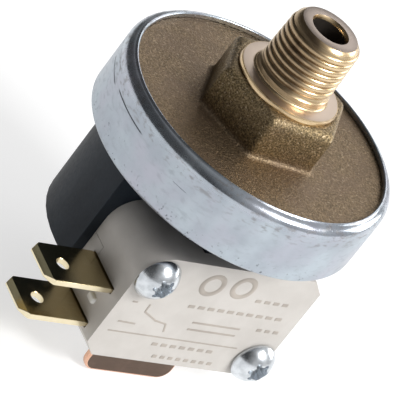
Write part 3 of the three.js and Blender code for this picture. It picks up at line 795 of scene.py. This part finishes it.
def domed_screw(name):
    dome_r = (head_r ** 2 + (head_rise - 0.35) ** 2) / (2 * (head_rise - 0.35))
    low = math.degrees(math.acos(head_r / dome_r))
    dome = bend((0, head_rise - dome_r), dome_r, low, 90, 14)
    screw = spun(name, [(0, shank_end), (shank_r - 0.5, shank_end), (shank_r, shank_end + 0.8),
                        (shank_r, 0.05), (head_r - 0.15, 0.05), (head_r, 0.18), *dome[:-1],
                        (0, head_rise)], steps=96, closed=False)
    socket = disc(1.12, head_rise - 1.3, 4, 32)
    lobes = [disc(0.34, head_rise - 1.3, 4, 20, (1.2 * math.cos(angle), 1.2 * math.sin(angle)))
             for angle in (lobe * math.pi / 3 for lobe in range(6))]
    cutter = join("socket_cutter", socket, *lobes)
    carve(screw, cutter)
    apply(screw, "BEVEL", width=0.06 * MM, segments=2, limit_method="ANGLE",
          angle_limit=math.radians(50), use_clamp_overlap=True)
    smooth(screw, 38)
    return screw


for name, node, x, z in (("upper_screw", "upper_mounting_screw", -11.1, -23),
                         ("lower_screw", "lower_mounting_screw", 11.9, -34.2)):
    screw = domed_screw(name)
    screw.rotation_euler = (math.pi / 2, 0, 0)
    screw.location = mm(x, face_y, z)
    take(screw)
    bpy.ops.object.transform_apply(location=True, rotation=True)
    finish_piece(screw, "switch_body", "bright_zinc", bright_zinc, instead_of=[node])

# %% [markdown]
# ## The works inside
#
# The lever, springs, contacts and button are seldom seen, but they move and show through the openings,
# so each of the frame's own nodes gets a real finish.

# %% Dress the inner nodes
inner = {
    "piston": white_plastic, "spring_seat": bright_zinc,
    "adjusting_screw": machined_brass, "rocker_lever": zinc_plate, "lever_pin": spring_wire,
    "switch_button": white_plastic, "contact_blade": copper_edge_highlight, "moving_contact": silver_alloy,
    "nc_contact": silver_alloy, "no_contact": silver_alloy,
}
for node, finish in inner.items():
    wear(nodes[node], finish)
print(len(inner), "inner nodes dressed")

# %% [markdown]
# The range spring is squeezed between its seat and the lever, and the diaphragm bulges with the piston.
# Here each is copied and cut flat at one height: the spring in two at its middle, the diaphragm at its
# top. The copies are not put on any moving body.

# %% Copy the spring and the diaphragm, cut flat
def giving(name, node, moving, still_z, moving_z, finish):
    """A copy of a node, cut flat at one height and kept on the side towards another height."""
    piece = copied(name, node)
    take(piece)
    bpy.ops.object.mode_set(mode="EDIT")
    bpy.ops.mesh.select_all(action="SELECT")
    bpy.ops.mesh.bisect(plane_co=(0, 0, still_z), plane_no=(0, 0, math.copysign(1, still_z - moving_z)),
                        use_fill=True, clear_outer=True)
    bpy.ops.object.mode_set(mode="OBJECT")
    smooth(piece, 40)
    wear(piece, finish)
    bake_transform(piece)
    print(name, len(piece.data.polygons), "faces, gives with", moving)
    return piece


spring_low, spring_high = (corner.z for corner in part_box("range_spring"))
spring_middle = (spring_low + spring_high) / 2
halves = [
    giving("spring_seat_half", "range_spring", "seat", spring_middle, spring_low,
           spring_wire),
    giving("spring_lever_half", "range_spring", "lever", spring_middle, spring_high,
           spring_wire)]
for half in halves:
    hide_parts("range_spring")
rubber_low, rubber_high = (corner.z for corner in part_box("diaphragm"))
bulging = giving("rubber_diaphragm", "diaphragm", "piston", rubber_high, rubber_low, rubber)
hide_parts("diaphragm")

# %% [markdown]
# ## Floor, light and camera
#
# The switch lies on nothing in particular: a pale sheet far enough below to catch one soft shadow.
# Bright metal shows what surrounds it, so the room is as much a part of the looks as the lamps. It is
# white in front and to the right, and dim behind and to the left, which puts dark bands in the metal.

# %% Lay the floor
take()
bpy.ops.mesh.primitive_plane_add(size=4, location=mm(0, 0, -40.65))
bpy.ops.object.transform_apply(location=True)
floor = named("studio_floor")
paper = Finish("paper_sweep", Roughness=0.9, Emission_Color=(1, 1, 1, 1), Emission_Strength=0.62)
fibre = paper.grain(3, 4)
paper.set(Base_Color=paper.blend((0.5, 0.5, 0.5), (0.53, 0.53, 0.53), fibre))
wear(floor, paper)
print("floor at", round(floor.data.vertices[0].co.z / MM, 2), "mm")

# %% [markdown]
# The room is a world whose brightness depends on the direction alone: a dot product with the bright
# side's direction, turned into grey by a ramp.

# %% Paint the room
world = bpy.data.worlds.new("studio")
bpy.context.scene.world = world
world.use_nodes = True
sky = world.node_tree
direction = sky.nodes.new("ShaderNodeTexCoord")
dot = sky.nodes.new("ShaderNodeVectorMath")
dot.operation = "DOT_PRODUCT"
dot.inputs[1].default_value = (0.85, -0.5, 0.15)
ramp = sky.nodes.new("ShaderNodeValToRGB")
ramp.color_ramp.elements[0].position, ramp.color_ramp.elements[0].color = 0.4, (0.1, 0.1, 0.1, 1)
ramp.color_ramp.elements[1].position, ramp.color_ramp.elements[1].color = 0.75, (1, 1, 1, 1)
shift = sky.nodes.new("ShaderNodeMapRange")
shift.inputs["From Min"].default_value, shift.inputs["From Max"].default_value = -1, 1
sky.links.new(direction.outputs["Generated"], dot.inputs[0])
sky.links.new(dot.outputs["Value"], shift.inputs["Value"])
sky.links.new(shift.outputs["Result"], ramp.inputs["Fac"])
sky.links.new(ramp.outputs["Color"], sky.nodes["Background"].inputs["Color"])
sky.nodes["Background"].inputs["Strength"].default_value = 0.62
print("room brightest towards", list(dot.inputs[1].default_value))

# %% [markdown]
# Three square lamps give the soft shadows: a key in front on the right, a weaker one from the side, and
# one above and behind that draws the rim of the ring. Each is aimed by a constraint, which is dropped
# once it has turned the lamp.

# %% Hang the lamps

def soft_box(name, place, size, watts):
    """A square lamp that looks at the switch."""
    bpy.ops.object.light_add(type="AREA", location=place)
    lamp = bpy.context.object
    lamp.name = name
    lamp.data.size, lamp.data.energy = size, watts
    target = bpy.data.objects["look_here"]
    aim = lamp.constraints.new("TRACK_TO")
    aim.target, aim.track_axis, aim.up_axis = target, "TRACK_NEGATIVE_Z", "UP_Y"
    bpy.context.view_layer.update()
    place_now = lamp.matrix_world.copy()
    lamp.constraints.remove(aim)
    lamp.matrix_world = place_now


switch_middle = mm(-1.6, -1.7, -19.3)
bpy.ops.object.empty_add(location=switch_middle)
bpy.context.object.name = "look_here"
soft_box("key", (0.18, -0.34, 0.36), 0.2, 2.2)
soft_box("side", (0.5, -0.02, 0.16), 0.25, 0.8)
soft_box("above_behind", (0.38, 0.35, 0.3), 0.3, 0.4)
bpy.data.objects.remove(bpy.data.objects["look_here"])

# %% [markdown]
# The camera stands off the terminal side, a little above, and is rolled so the nipple leans to the upper
# right. A long lens keeps the round ring an even ellipse.

# %% Set the camera
from mathutils import Matrix, Vector

look_at = Vector(switch_middle)
back = Vector((-0.634, -0.592, 0.497)).normalized()
right = Vector((0.762, -0.369, 0.532)).normalized()
up = back.cross(right).normalized()
right = up.cross(back)
camera_data = bpy.data.cameras.new("camera")
camera_data.lens, camera_data.sensor_width, distance = 356.5, 36, 0.4816
camera_data.clip_start, camera_data.clip_end = 0.01, 20
camera = bpy.data.objects.new("camera", camera_data)
bpy.context.scene.collection.objects.link(camera)
turn = Matrix((right, up, back)).transposed()
camera.matrix_world = Matrix.Translation(look_at + back * distance) @ turn.to_4x4()
bpy.context.scene.camera = camera
bpy.context.scene.view_settings.view_transform = "Standard"
print("camera at", [round(v, 3) for v in camera.matrix_world.translation])
